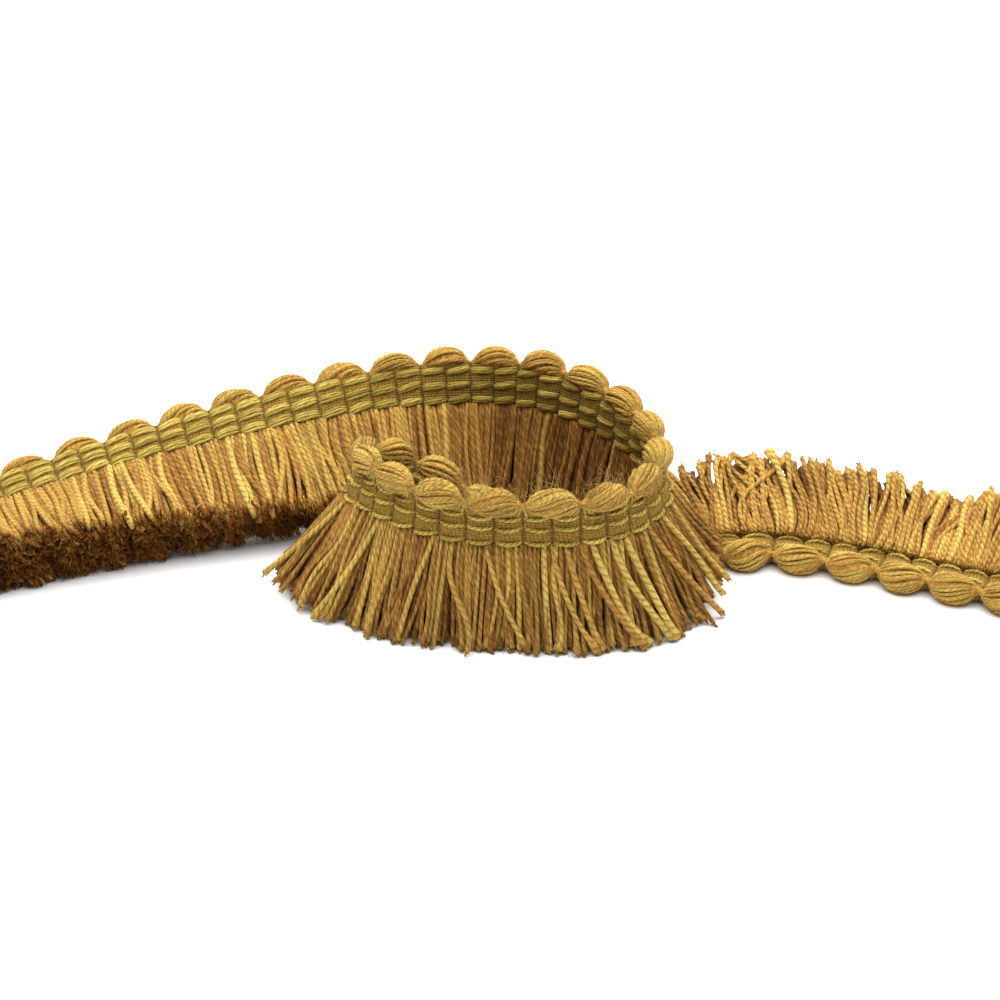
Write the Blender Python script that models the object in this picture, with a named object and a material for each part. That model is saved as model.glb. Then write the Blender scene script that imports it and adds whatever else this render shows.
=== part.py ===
# A cut length of brush fringe trim, lying in one loose coil.
# The trim is a narrow woven band. Its top edge carries a cord drawn in to oval scallops,
# and below it hangs a thick fringe of cut yarns.
# Places along the trim are counted in scallops, and sizes are in millimetres until the last step.

import math
import random
from collections import namedtuple

import bmesh
import bpy
from mathutils import Vector

METRES = 0.001
SEED = 11

# The point of the floor below the trim's middle, which the finished part has as its origin.
FLOOR_CENTRE = (0.06, 6.76)

# Scallops along the trim, by number, and where its two cut ends lie.
FIRST_SCALLOP = -1
LAST_SCALLOP = 35
TRIM_START = FIRST_SCALLOP - 0.5
TRIM_END = LAST_SCALLOP + 0.5

# The trim's own cross-section. Down runs from the scallops to the fringe, and out to the face
# that the scallops stand on.
SCALLOP_RADIUS = 3.4
NECK_SHARE = 0.3
OVAL_POWER = 0.75
PIECE_GAP = 0.3
BAND_TOP = 0.6
BAND_WIDTH = 10.2
BAND_THICK = 2.2
BAND_THIN = 1.8
BAND_OUT = -1.9
BAND_BEVEL = 0.35
STRIP_HEIGHT = 1.8
STRIP_THICK = 2.8
ROW_GAP = 0.3

# Fringe locks: two rows, fused to the strip at their roots.
LOCKS_PER_SCALLOP = 4
LOCK_SHARE = 0.8
ROW_OFFSET = 0.27
ROW_THICK = 0.44
ROW_STAGGER = 0.25
MIDDLE_SHARE = 0.5
MIDDLE_SPREAD = 0.46
UNEVEN = 0.9
LEVEL_LEANS = (-23.0, 30.0)
FLOOR_REACH = 2.5
WIDEST_LOCK = 2.9
THINNEST_TIP = 0.8

# Where the fringe's backing strips meet, in scallops.
FRINGE_ENDS = (TRIM_START, 2.0, 5.0, 7.5, 9.5, 11.5, 13.5, 15.5, 17.5, 19.5, 21.0, 22.5, 24.5, 27.0,
               29.5, 32.5, TRIM_END)

# How the trim lies: the middle of a scallop, the fringe's lean out from hanging straight down,
# the reach from the scallop's middle to the cut tips, and the brush's thickness at its tips.
Station = namedtuple("Station", "scallop x y z lean reach spread")
STATIONS = (
    Station(-2, -143.0, 17.5, 7.8, -88, 35.5, 15.0),
    Station(-1, -130.5, 23.0, 10.5, -82, 35.5, 15.0),
    Station(1, -105.0, 32.5, 16.2, -72, 35.5, 15.0),
    Station(3, -79.5, 39.0, 22.5, -60, 35.5, 15.0),
    Station(5, -53.5, 43.5, 28.4, -47, 35.5, 15.0),
    Station(7, -26.5, 47.0, 33.0, -33, 35.5, 14.0),
    Station(9, -1.0, 46.0, 35.5, -16, 36.0, 13.0),
    Station(10, 11.0, 41.5, 36.0, -9, 36.0, 12.0),
    Station(11, 22.0, 32.5, 36.2, -4, 34.0, 10.5),
    Station(11.5, 26.4, 26.2, 36.2, -2, 25.6, 9.5),
    Station(12, 30.0, 19.5, 36.2, -2, 25.8, 9.0),
    Station(13, 35.0, 6.0, 36.2, 16, 27.0, 10.0),
    Station(14, 36.5, -7.5, 36.0, 27, 31.0, 11.0),
    Station(15, 33.0, -20.5, 36.0, 13, 36.5, 12.0),
    Station(16, 24.0, -29.0, 35.8, 7, 36.5, 11.0),
    Station(18, -1.5, -30.5, 35.4, 3, 36.0, 11.0),
    Station(19, -14.0, -26.0, 35.4, 8, 36.0, 12.0),
    Station(20, -24.0, -18.0, 35.2, 14, 36.5, 11.5),
    Station(21, -31.0, -7.5, 34.6, 24, 37.5, 10.5),
    Station(22, -32.5, 4.5, 31.5, 33, 36.5, 8.5),
    Station(23, -25.0, 10.0, 28.0, 4, 28.5, 6.0),
    Station(24, -14.0, 8.0, 23.5, 13, 24.3, 5.0),
    Station(25, -3.0, 2.0, 18.0, 43, 19.0, 5.5),
    Station(26, 9.0, -3.0, 12.5, 70, 23.0, 6.5),
    Station(27, 21.5, -5.5, 8.0, 86, 24.0, 7.5),
    Station(28, 34.5, -4.5, 5.0, 92, 27.0, 8.5),
    Station(29, 47.0, 0.0, 3.8, 94, 33.5, 10.0),
    Station(30, 59.0, 3.5, 3.5, 96, 35.5, 11.0),
    Station(32, 83.0, -3.0, 3.5, 96, 35.5, 11.0),
    Station(34, 105.5, -13.0, 3.5, 96, 35.5, 11.0),
    Station(36, 128.5, -23.5, 3.5, 96, 35.5, 11.0),
)

# Offsets, in scallops, over which the curve is averaged, and between which its direction is read.
SOFTEN = (-0.6, -0.3, 0.0, 0.3, 0.6)
SLOPE_STEP = 0.05

SHARP_ANGLE = 50

Frame = namedtuple("Frame", "middle along down out lean reach spread")

BAND_COLOUR = (0.30, 0.19, 0.045, 1.0)
SCALLOP_COLOUR = (0.47, 0.29, 0.075, 1.0)
FRINGE_COLOUR = (0.42, 0.25, 0.055, 1.0)
YARN_ROUGHNESS = 0.9


def station_slope(index):
    """How the stations' values change per scallop at one of them."""
    before = STATIONS[max(index - 1, 0)]
    after = STATIONS[min(index + 1, len(STATIONS) - 1)]
    run = after.scallop - before.scallop
    return [(b - a) / run for a, b in zip(before, after)]


def curve_at(place):
    """A curve through the stations, read at a place along the trim."""
    index = 0
    while index < len(STATIONS) - 2 and STATIONS[index + 1].scallop <= place:
        index += 1
    start, end = STATIONS[index], STATIONS[index + 1]
    run = end.scallop - start.scallop
    t = (place - start.scallop) / run
    start_weight = 2 * t**3 - 3 * t**2 + 1
    start_pull = (t**3 - 2 * t**2 + t) * run
    end_pull = (t**3 - t**2) * run
    columns = zip(start, end, station_slope(index), station_slope(index + 1))
    return Station(*[a * start_weight + b * (1 - start_weight) + m * start_pull + n * end_pull
                     for a, b, m, n in columns])


def values_at(place):
    """The curve's mean over a short run, which evens out how sharply it bends."""
    count = len(SOFTEN)
    columns = zip(*[curve_at(place + offset) for offset in SOFTEN])
    return Station(*[sum(column) / count for column in columns])


def frame_at(place):
    """The trim's own directions at a place: along it, down to the fringe, and out on the scallops' face."""
    here = values_at(place)
    before, after = values_at(place - SLOPE_STEP), values_at(place + SLOPE_STEP)
    along = Vector((after.x - before.x, after.y - before.y, after.z - before.z)).normalized()
    sideways = Vector((-along.y, along.x, 0.0)).normalized()
    hanging = along.cross(sideways) * -1.0
    lean = math.radians(here.lean)
    down = hanging * math.cos(lean) + sideways * math.sin(lean)
    out = sideways * math.cos(lean) - hanging * math.sin(lean)
    return Frame(Vector((here.x, here.y, here.z)), along, down, out, here.lean, here.reach, here.spread)


def spot(frame, down, out):
    """A point of the trim, from its distances down and out from the scallop's middle."""
    return frame.middle + frame.down * down + frame.out * out


def add_loft(bm, rings):
    """Bridge rings of points to one closed skin, and return its vertices ring by ring."""
    rows = [[bm.verts.new(point) for point in ring] for ring in rings]
    count = len(rows[0])
    for near, far in zip(rows, rows[1:]):
        for i in range(count):
            j = (i + 1) % count
            bm.faces.new((near[i], near[j], far[j], far[i]))
    bm.faces.new(list(reversed(rows[0])))
    bm.faces.new(rows[-1])
    return rows


def make_material(name, colour):
    material = bpy.data.materials.new(name)
    material.use_nodes = True
    shader = material.node_tree.nodes["Principled BSDF"]
    shader.inputs["Base Color"].default_value = colour
    shader.inputs["Roughness"].default_value = YARN_ROUGHNESS
    shader.inputs["Metallic"].default_value = 0.0
    return material


def finish_piece(bm, name, collection, material, smooth):
    """Turn a bmesh in millimetres into a named object in metres."""
    bmesh.ops.recalc_face_normals(bm, faces=bm.faces)
    bmesh.ops.translate(bm, vec=(-FLOOR_CENTRE[0], -FLOOR_CENTRE[1], 0.0), verts=bm.verts)
    bmesh.ops.scale(bm, vec=(METRES, METRES, METRES), verts=bm.verts)
    mesh = bpy.data.meshes.new(name)
    bm.to_mesh(mesh)
    bm.free()
    if smooth:
        mesh.shade_smooth()
        mesh.set_sharp_from_angle(angle=math.radians(SHARP_ANGLE))
    mesh.materials.append(material)
    piece = bpy.data.objects.new(name, mesh)
    collection.objects.link(piece)
    return piece


def make_heading_band(collection):
    """The woven band: a thin sheet along the whole trim, drawn in a little at its grooves, two a scallop."""
    steps_per_scallop = 4
    steps = round((TRIM_END - TRIM_START) * steps_per_scallop)
    rings = []
    for step in range(steps + 1):
        frame = frame_at(TRIM_START + step / steps_per_scallop)
        half = (BAND_THIN if step % 2 == 0 else BAND_THICK) / 2
        top, bottom = BAND_TOP, BAND_TOP + BAND_WIDTH
        outline = ((top, half - BAND_BEVEL), (top + BAND_BEVEL, half), (bottom - BAND_BEVEL, half),
                   (bottom, half - BAND_BEVEL), (bottom, BAND_BEVEL - half), (bottom - BAND_BEVEL, -half),
                   (top + BAND_BEVEL, -half), (top, BAND_BEVEL - half))
        rings.append([spot(frame, down, BAND_OUT + out) for down, out in outline])
    bm = bmesh.new()
    add_loft(bm, rings)
    material = make_material("woven_band", BAND_COLOUR)
    return finish_piece(bm, "heading_band", collection, material, smooth=False)


def scallop_outline():
    """A round section with a notch cut from it, in which the band's top edge sits."""
    notch_down = BAND_TOP - PIECE_GAP
    notch_out = BAND_OUT + BAND_THICK / 2 + PIECE_GAP
    first = math.asin(notch_out / SCALLOP_RADIUS)
    last = 2 * math.pi - math.acos(notch_down / SCALLOP_RADIUS)
    arc_points = 9
    points = [(notch_down, notch_out)]
    for i in range(arc_points):
        angle = first + (last - first) * i / (arc_points - 1)
        points.append((SCALLOP_RADIUS * math.cos(angle), SCALLOP_RADIUS * math.sin(angle)))
    return points


def make_scallop_edge(collection):
    """The edge cord: ovals end to end, joined by the thin necks where the stitches draw it in."""
    stations = (-0.5, -0.4, -0.22, 0.0, 0.22, 0.4)
    outline = scallop_outline()
    places = [number + offset for number in range(FIRST_SCALLOP, LAST_SCALLOP + 1) for offset in stations]
    places.append(TRIM_END)
    rings = []
    for place in places:
        offset = place - round(place) if place < TRIM_END else 0.5
        oval = max(0.0, 1 - (2 * offset)**2)**OVAL_POWER
        size = NECK_SHARE + (1 - NECK_SHARE) * oval
        frame = frame_at(place)
        rings.append([spot(frame, down * size, out * size) for down, out in outline])
    bm = bmesh.new()
    add_loft(bm, rings)
    material = make_material("gimp_cord", SCALLOP_COLOUR)
    return finish_piece(bm, "scallop_edge", collection, material, smooth=True)


def strip_outline():
    """The backing strip's section. Its lower side holds the two rows of roots and the gap between them."""
    top = BAND_TOP + BAND_WIDTH + PIECE_GAP
    bottom = top + STRIP_HEIGHT
    half = STRIP_THICK / 2
    return ((top, -half), (top, half), (bottom, half), (bottom, ROW_GAP / 2), (bottom, -ROW_GAP / 2),
            (bottom, -half))


def lock_section(place, side, share, lengthen, pitch):
    """Corners of a lock's section, a share of the way from the strip to its cut end."""
    frame = frame_at(place)
    root = BAND_TOP + BAND_WIDTH + PIECE_GAP + STRIP_HEIGHT
    down = root + (frame.reach + lengthen - root) * share
    spread = frame.spread * (share if share == 1.0 else MIDDLE_SPREAD)
    out = BAND_OUT + side * max(ROW_OFFSET * spread, (STRIP_THICK + ROW_GAP) / 4)
    thick = max(ROW_THICK * spread, (STRIP_THICK - ROW_GAP) / 2)
    row = spot(frame_at(place + pitch / 2), down, out) - spot(frame_at(place - pitch / 2), down, out)
    half = pitch / 2 * min(LOCK_SHARE, WIDEST_LOCK / row.length)
    return [spot(frame_at(place + a * half), down, out + b * thick / 2)
            for a, b in ((-1, 1), (-1, -1), (1, -1), (1, 1))]


def settle_tip(middle_corners, tip_corners, side, frame):
    """Rest a lock's cut end on the floor, or on the run of trim that it crosses."""
    tip_height = frame.middle.z - frame.reach * math.cos(math.radians(frame.lean))
    if LEVEL_LEANS[0] < frame.lean < LEVEL_LEANS[1]:
        height = tip_height if tip_height > FLOOR_REACH else 0.0
        settled = []
        for start, end in zip(middle_corners, tip_corners):
            edge = end - start
            settled.append(start + edge * ((height - start.z) / edge.z))
        return settled
    if side * frame.lean > 0:
        return tip_corners
    lower, upper = ((0, 3), (1, 2)) if side > 0 else ((1, 2), (0, 3))
    if min(tip_corners[i].z for i in lower) < FLOOR_REACH:
        for i in lower:
            tip_corners[i].z = 0.0
        for i in upper:
            tip_corners[i].z = max(tip_corners[i].z, THINNEST_TIP)
    return tip_corners


def place_face(face, corners):
    """Move a face's corners to the given ones, turned to the start that twists the face least."""
    points = list(face.verts)
    move = sum(corners, Vector()) / 4 - face.calc_center_median()
    shift = min(range(4), key=lambda turn: sum((points[i].co + move - corners[(i + turn) % 4]).length
                                               for i in range(4)))
    for i in range(4):
        points[i].co = corners[(i + shift) % 4]


def make_fringe(number, start, end, collection, material, rng):
    """One run of fringe: its backing strip, with two rows of locks drawn out of the strip's lower side."""
    pitch = 1.0 / LOCKS_PER_SCALLOP
    count = round((end - start) * LOCKS_PER_SCALLOP)
    half = LOCK_SHARE * pitch / 2
    outline = strip_outline()
    centres = [start + (k + 0.5) * pitch for k in range(count)]
    rings = []
    for centre in centres:
        for place in (centre - half, centre + half):
            frame = frame_at(place)
            rings.append([spot(frame, down, BAND_OUT + out) for down, out in outline])
    bm = bmesh.new()
    rows = add_loft(bm, rings)
    for k, centre in enumerate(centres):
        near, far = rows[2 * k], rows[2 * k + 1]
        for side, (i, j) in ((1, (2, 3)), (-1, (4, 5))):
            root = bm.faces.get((near[i], near[j], far[j], far[i]))
            tip_place = centre + (side - 1) / 2 * ROW_STAGGER * pitch
            lengthen = rng.uniform(-UNEVEN, UNEVEN)
            middle = lock_section(tip_place, side, MIDDLE_SHARE, 0.0, pitch)
            tip = lock_section(tip_place, side, 1.0, lengthen, pitch)
            tip = settle_tip(middle, tip, side, frame_at(tip_place))
            for corners in (middle, tip):
                drawn = bmesh.ops.extrude_discrete_faces(bm, faces=[root])
                root = drawn["faces"][0]
                place_face(root, corners)
    return finish_piece(bm, f"fringe_{number:02d}", collection, material, smooth=False)


def main():
    for item in list(bpy.data.objects):
        bpy.data.objects.remove(item, do_unlink=True)
    collection = bpy.data.collections.new("cut_fringe_trim")
    bpy.context.scene.collection.children.link(collection)
    make_heading_band(collection)
    make_scallop_edge(collection)
    fringe_material = make_material("fringe_yarn", FRINGE_COLOUR)
    rng = random.Random(SEED)
    for number, (start, end) in enumerate(zip(FRINGE_ENDS, FRINGE_ENDS[1:]), start=1):
        make_fringe(number, start, end, collection, fringe_material, rng)


main()
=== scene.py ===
# A cut length of brush fringe trim, lying in one loose coil: its yarns, heading, scalloped edge and light.
# Places along the trim are counted in scallops. Sizes are in millimetres until a mesh is finished.
import math

import bmesh
import bpy
import numpy as np
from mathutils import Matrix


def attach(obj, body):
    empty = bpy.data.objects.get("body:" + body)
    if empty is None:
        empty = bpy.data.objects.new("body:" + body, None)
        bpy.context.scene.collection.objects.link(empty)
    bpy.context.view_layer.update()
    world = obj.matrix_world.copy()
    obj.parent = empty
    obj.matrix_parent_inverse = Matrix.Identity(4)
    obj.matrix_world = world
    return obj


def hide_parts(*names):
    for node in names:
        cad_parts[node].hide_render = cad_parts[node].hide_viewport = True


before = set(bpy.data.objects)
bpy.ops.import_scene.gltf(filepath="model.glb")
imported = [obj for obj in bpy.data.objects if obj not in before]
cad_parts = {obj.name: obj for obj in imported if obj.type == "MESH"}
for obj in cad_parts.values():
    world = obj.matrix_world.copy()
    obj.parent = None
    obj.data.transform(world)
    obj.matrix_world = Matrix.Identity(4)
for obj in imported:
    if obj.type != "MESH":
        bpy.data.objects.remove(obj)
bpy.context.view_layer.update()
rng = np.random.default_rng(23)
millimetre = 0.001
fullTurn = 6.28

# how the trim lies: scallop, x, y, z of the scallop's middle, the fringe's lean out from hanging,
# the reach from the scallop's middle to the cut tips, and the brush's thickness there
trim = {
    "start": -1.5,
    "end": 35.5,
    "scallop": 13.2,
    "floorCentre": (0.06, 6.76),
    "bandTop": 0.6,
    "bandBottom": 10.8,
    "bandOut": -1.9,
    "soften": (-0.6, -0.3, 0.0, 0.3, 0.6),
    "stations": (
        (-2, -143.0, 17.5, 7.8, -88, 35.5, 15.0),
        (-1, -130.5, 23.0, 10.5, -82, 35.5, 15.0),
        (1, -105.0, 32.5, 16.2, -72, 35.5, 15.0),
        (3, -79.5, 39.0, 22.5, -60, 35.5, 15.0),
        (5, -53.5, 43.5, 28.4, -47, 35.5, 15.0),
        (7, -26.5, 47.0, 33.0, -33, 35.5, 14.0),
        (9, -1.0, 46.0, 35.5, -16, 36.0, 13.0),
        (10, 11.0, 41.5, 36.0, -9, 36.0, 12.0),
        (11, 22.0, 32.5, 36.2, -4, 34.0, 10.5),
        (11.5, 26.4, 26.2, 36.2, -2, 25.6, 9.5),
        (12, 30.0, 19.5, 36.2, -2, 25.8, 9.0),
        (13, 35.0, 6.0, 36.2, 16, 27.0, 10.0),
        (14, 36.5, -7.5, 36.0, 27, 31.0, 11.0),
        (15, 33.0, -20.5, 36.0, 13, 36.5, 12.0),
        (16, 24.0, -29.0, 35.8, 7, 36.5, 11.0),
        (18, -1.5, -30.5, 35.4, 3, 36.0, 11.0),
        (19, -14.0, -26.0, 35.4, 8, 36.0, 12.0),
        (20, -24.0, -18.0, 35.2, 14, 36.5, 11.5),
        (21, -31.0, -7.5, 34.6, 24, 37.5, 10.5),
        (22, -32.5, 4.5, 31.5, 33, 36.5, 8.5),
        (23, -25.0, 10.0, 28.0, 4, 28.5, 6.0),
        (24, -14.0, 8.0, 23.5, 13, 24.3, 5.0),
        (25, -3.0, 2.0, 18.0, 43, 19.0, 5.5),
        (26, 9.0, -3.0, 12.5, 70, 23.0, 6.5),
        (27, 21.5, -5.5, 8.0, 86, 24.0, 7.5),
        (28, 34.5, -4.5, 5.0, 92, 27.0, 8.5),
        (29, 47.0, 0.0, 3.8, 94, 33.5, 10.0),
        (30, 59.0, 3.5, 3.5, 96, 35.5, 11.0),
        (32, 83.0, -3.0, 3.5, 96, 35.5, 11.0),
        (34, 105.5, -13.0, 3.5, 96, 35.5, 11.0),
        (36, 128.5, -23.5, 3.5, 96, 35.5, 11.0),
    ),
}


def unit(vectors):
    return vectors / np.maximum(np.linalg.norm(vectors, axis=-1, keepdims=True), 1e-9)


def valueAt(place, stops):
    # stops are pairs: a place and the value there
    return np.interp(place, *zip(*stops))


def waves(place, parts, shift=1.0):
    # each part has its height, how often it comes and where it starts
    return sum(height * np.sin(place * often + start * shift) for height, often, start in parts)


def stationCurve(place):
    rows = np.array(trim["stations"], float)
    key, values = rows[:, 0], rows[:, 1:]
    number = np.arange(len(key))
    ahead, behind = np.minimum(number + 1, len(key) - 1), np.maximum(number - 1, 0)
    slope = (values[ahead] - values[behind]) / (key[ahead] - key[behind])[:, None]
    i = np.clip(np.searchsorted(key, place, side="right") - 1, 0, len(key) - 2)
    run = key[i + 1] - key[i]
    t = (place - key[i]) / run
    keep = (2 * t**3 - 3 * t**2 + 1)[:, None]
    pullStart = ((t**3 - 2 * t**2 + t) * run)[:, None]
    pullEnd = ((t**3 - t**2) * run)[:, None]
    return values[i] * keep + values[i + 1] * (1 - keep) + slope[i] * pullStart + slope[i + 1] * pullEnd


# one row each 1/100 of a scallop: middle, along, down, out, then lean, reach and spread
tableStep = 0.01
tablePlaces = np.arange(trim["start"] - 1.0, trim["end"] + 1.0, tableStep)
tableRows = np.mean([stationCurve(tablePlaces + offset) for offset in trim["soften"]], axis=0)
middle = tableRows[:, :3] - np.array([*trim["floorCentre"], 0.0])
along = unit(np.gradient(middle, axis=0))
sideways = unit(np.stack([-along[:, 1], along[:, 0], np.zeros(len(along))], axis=1))
hanging = -np.cross(along, sideways)
lean = np.radians(tableRows[:, 3:4])
down = hanging * np.cos(lean) + sideways * np.sin(lean)
out = sideways * np.cos(lean) - hanging * np.sin(lean)
trimTable = np.hstack([middle, along, down, out, tableRows[:, 3:]])
alongPart, downPart, outPart = slice(3, 6), slice(6, 9), slice(9, 12)
downHeight, leanPart, reachPart, spreadPart = 8, 12, 13, 14


def trimFrame(place):
    spot = np.clip((np.asarray(place) - tablePlaces[0]) / tableStep, 0, len(tablePlaces) - 2)
    i = spot.astype(int)
    share = (spot - i)[..., None]
    return trimTable[i] * (1 - share) + trimTable[i + 1] * share


def trimPoint(place, downBy, outBy):
    here = trimFrame(place)
    downBy, outBy = np.asarray(downBy)[..., None], np.asarray(outBy)[..., None]
    return here[..., :3] + here[..., downPart] * downBy + here[..., outPart] * outBy


def placeObject(name, data):
    placed = bpy.data.objects.new(name, data)
    bpy.context.scene.collection.objects.link(placed)
    return placed


def meshPoints(mesh):
    flat = np.empty(len(mesh.vertices) * 3)
    mesh.vertices.foreach_get("co", flat)
    return flat.reshape(-1, 3)


def shapeMesh(mesh, points):
    mesh.vertices.foreach_set("co", (points * millimetre).ravel())
    mesh.polygons.foreach_set("use_smooth", np.ones(len(mesh.polygons), bool))
    mesh.update()


def storeVector(mesh, name, vectors):
    mesh.attributes.new(name, "FLOAT_VECTOR", "POINT").data.foreach_set("vector", vectors.ravel())


def storeValue(mesh, name, values):
    mesh.attributes.new(name, "FLOAT", "POINT").data.foreach_set("value", values.ravel())


def straightTube(name, sides, rings, count):
    # a closed tube, one ring a unit apart; its own coordinates say where each point sits on a yarn
    bm = bmesh.new()
    bmesh.ops.create_cone(bm, cap_ends=True, segments=sides, radius1=1.0, radius2=1.0, depth=1.0)
    bmesh.ops.translate(bm, vec=(0.0, 0.0, 0.5), verts=bm.verts)
    cap = max(bm.faces, key=lambda face: face.calc_center_median().z)
    for _ in range(rings - 2):
        grown = bmesh.ops.extrude_face_region(bm, geom=[cap])["geom"]
        raised = [item for item in grown if isinstance(item, bmesh.types.BMVert)]
        bmesh.ops.translate(bm, vec=(0.0, 0.0, 1.0), verts=raised)
        bmesh.ops.delete(bm, geom=[cap], context="FACES_ONLY")
        cap = next(item for item in grown if isinstance(item, bmesh.types.BMFace))
    mesh = bpy.data.meshes.new(name)
    bm.to_mesh(mesh)
    bm.free()
    if count == 1:
        return mesh
    holder = placeObject(name, mesh)
    repeat = holder.modifiers.new("repeat", "ARRAY")
    repeat.count = count
    repeat.use_relative_offset = False
    graph = bpy.context.evaluated_depsgraph_get()
    many = bpy.data.meshes.new_from_object(holder.evaluated_get(graph))
    bpy.data.objects.remove(holder, do_unlink=True)
    bpy.data.meshes.remove(mesh)
    many.name = name
    return many


def travelled(centres):
    steps = np.linalg.norm(np.diff(centres, axis=1), axis=-1)
    return np.concatenate([np.zeros((len(centres), 1)), np.cumsum(steps, axis=1)], axis=1)


def yarnBundle(centres, radii, guide, tone, tip=0.0, turn=0.0):
    # centres (yarns, rings, 3) and values for each ring; guide is the way that the section starts from
    shape = centres.shape[:2]
    return {"centres": centres, "guide": np.broadcast_to(guide, centres.shape),
            **{key: np.broadcast_to(value, shape)
               for key, value in (("radii", radii), ("tone", tone), ("tip", tip), ("turn", turn))}}


def startTurn(shape):
    return rng.uniform(0, fullTurn, shape)


def gatherTubes(name, bundles, sides):
    # one mesh of tubes; each point keeps its place on its yarn, its tone and its tip, for the materials
    whole = {key: np.concatenate([bundle[key] for bundle in bundles]) for key in bundles[0]}
    centres, radii = whole["centres"], whole["radii"]
    count, rings = radii.shape
    mesh = straightTube(name, sides, rings, count)
    template = meshPoints(mesh).reshape(count, -1, 3)[0]
    ring = np.rint(template[:, 2]).astype(int)
    cosine, sine = template[:, 0], template[:, 1]
    way = unit(np.gradient(centres, axis=1))
    first = unit(whole["guide"] - way * np.sum(whole["guide"] * way, axis=-1, keepdims=True))
    second = np.cross(way, first)
    turn = whole["turn"][..., None]
    cosTurn, sinTurn = np.cos(turn), np.sin(turn)
    first, second = first * cosTurn + second * sinTurn, second * cosTurn - first * sinTurn
    ray = first[:, ring] * cosine[:, None] + second[:, ring] * sine[:, None]
    points = centres[:, ring] + radii[:, ring][..., None] * ray
    shapeMesh(mesh, points)
    yarnSpace = np.empty(points.shape)
    yarnSpace[..., 0], yarnSpace[..., 1], yarnSpace[..., 2] = cosine, sine, travelled(centres)[:, ring]
    storeVector(mesh, "yarnSpace", yarnSpace)
    for key in ("tone", "tip"):
        storeValue(mesh, key, whole[key][:, ring])
    return mesh


triangleCount = []


def addPiece(name, mesh, material, replaced=()):
    piece = placeObject(name, mesh)
    mesh.materials.clear()
    mesh.materials.append(material)
    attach(piece, "root")
    if replaced:
        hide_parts(*replaced)
    mesh.calc_loop_triangles()
    triangleCount.append(len(mesh.loop_triangles))
    return piece


# yarn materials, from one group that reads fibres and plies off the yarn's own space
def feed(tree, socket, value):
    if isinstance(value, (int, float)):
        socket.default_value = value
    elif isinstance(value, tuple):
        socket.default_value = (*value, 1.0)
    else:
        tree.links.new(value, socket)


def mathNode(tree, operation, *values):
    node = tree.nodes.new("ShaderNodeMath")
    node.operation = operation
    for socket, value in zip(node.inputs, values):
        feed(tree, socket, value)
    return node.outputs[0]


def noiseNode(tree, where, scale, detail, roughness=0.5):
    node = tree.nodes.new("ShaderNodeTexNoise")
    node.inputs["Detail"].default_value = detail
    node.inputs["Roughness"].default_value = roughness
    feed(tree, node.inputs["Scale"], scale)
    tree.links.new(where, node.inputs["Vector"])
    return node.outputs["Fac"]


def attributeNode(tree, name, output="Fac"):
    node = tree.nodes.new("ShaderNodeAttribute")
    node.attribute_name = name
    return node.outputs[output]


def splitVector(tree, vector):
    node = tree.nodes.new("ShaderNodeSeparateXYZ")
    tree.links.new(vector, node.inputs[0])
    return node.outputs


# how fibres lie on every yarn and how rough they are
fibreDraw = {"lengthwise": 0.35, "plyWander": 2.2, "roughness": (0.95, 0.72), "bump": 0.0003}


def makeFibreGroup():
    group = bpy.data.node_groups.new("woundFibres", "ShaderNodeTree")
    for name, value in (("Fineness", 3.0), ("Ply Turns", 0.0)):
        socket = group.interface.new_socket(name=name, in_out="INPUT", socket_type="NodeSocketFloat")
        socket.default_value = value
    for name in ("Fibre", "Crest", "Ply"):
        group.interface.new_socket(name=name, in_out="OUTPUT", socket_type="NodeSocketFloat")
    given, result = group.nodes.new("NodeGroupInput"), group.nodes.new("NodeGroupOutput")
    parts = splitVector(group, attributeNode(group, "yarnSpace", "Vector"))
    angle = mathNode(group, "ARCTAN2", parts[1], parts[0])
    length = mathNode(group, "MULTIPLY", parts[2], 2 * math.pi)
    # the noise wraps round the yarn and is drawn out along it, as fibres are
    around = group.nodes.new("ShaderNodeCombineXYZ")
    feed(group, around.inputs[0], mathNode(group, "COSINE", angle))
    feed(group, around.inputs[1], mathNode(group, "SINE", angle))
    feed(group, around.inputs[2], mathNode(group, "MULTIPLY", parts[2], fibreDraw["lengthwise"]))
    fibre = noiseNode(group, around.outputs[0], given.outputs["Fineness"], 4.0, 0.65)
    plied = mathNode(group, "MULTIPLY_ADD", length, given.outputs["Ply Turns"], angle)
    ply = mathNode(group, "COSINE", mathNode(group, "MULTIPLY_ADD", fibre, fibreDraw["plyWander"], plied))
    feed(group, result.inputs["Fibre"], fibre)
    feed(group, result.inputs["Ply"], ply)
    feed(group, result.inputs["Crest"], mathNode(group, "ABSOLUTE", ply))
    return group


fibreGroup = makeFibreGroup()


def rampNode(tree, factor, stops):
    node = tree.nodes.new("ShaderNodeValToRGB")
    while len(node.color_ramp.elements) < len(stops):
        node.color_ramp.elements.new(0.5)
    for element, (position, colour) in zip(node.color_ramp.elements, stops):
        element.position = position
        element.color = (*colour, 1.0)
    tree.links.new(factor, node.inputs[0])
    return node.outputs[0]


def mixColour(tree, blend, factor, first, second):
    node = tree.nodes.new("ShaderNodeMix")
    node.data_type = "RGBA"
    node.blend_type = blend
    # a colour mix has its factor at socket 0 and its two colours at 6 and 7
    for number, value in ((0, factor), (6, first), (7, second)):
        feed(tree, node.inputs[number], value)
    return node.outputs[2]


def shadeBy(tree, base, factor, low, lowShade, high, highShade):
    shades = rampNode(tree, factor, ((low, (lowShade,) * 3), (high, (highShade,) * 3)))
    return mixColour(tree, "MULTIPLY", 1.0, base, shades)


def dyeDrift(tree, base, scale, low, high):
    # the dye comes out a little lighter and darker from place to place
    where = tree.nodes.new("ShaderNodeTexCoord")
    return shadeBy(tree, base, noiseNode(tree, where.outputs["Object"], scale, 2.0), 0.3, low, 0.7, high)


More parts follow.
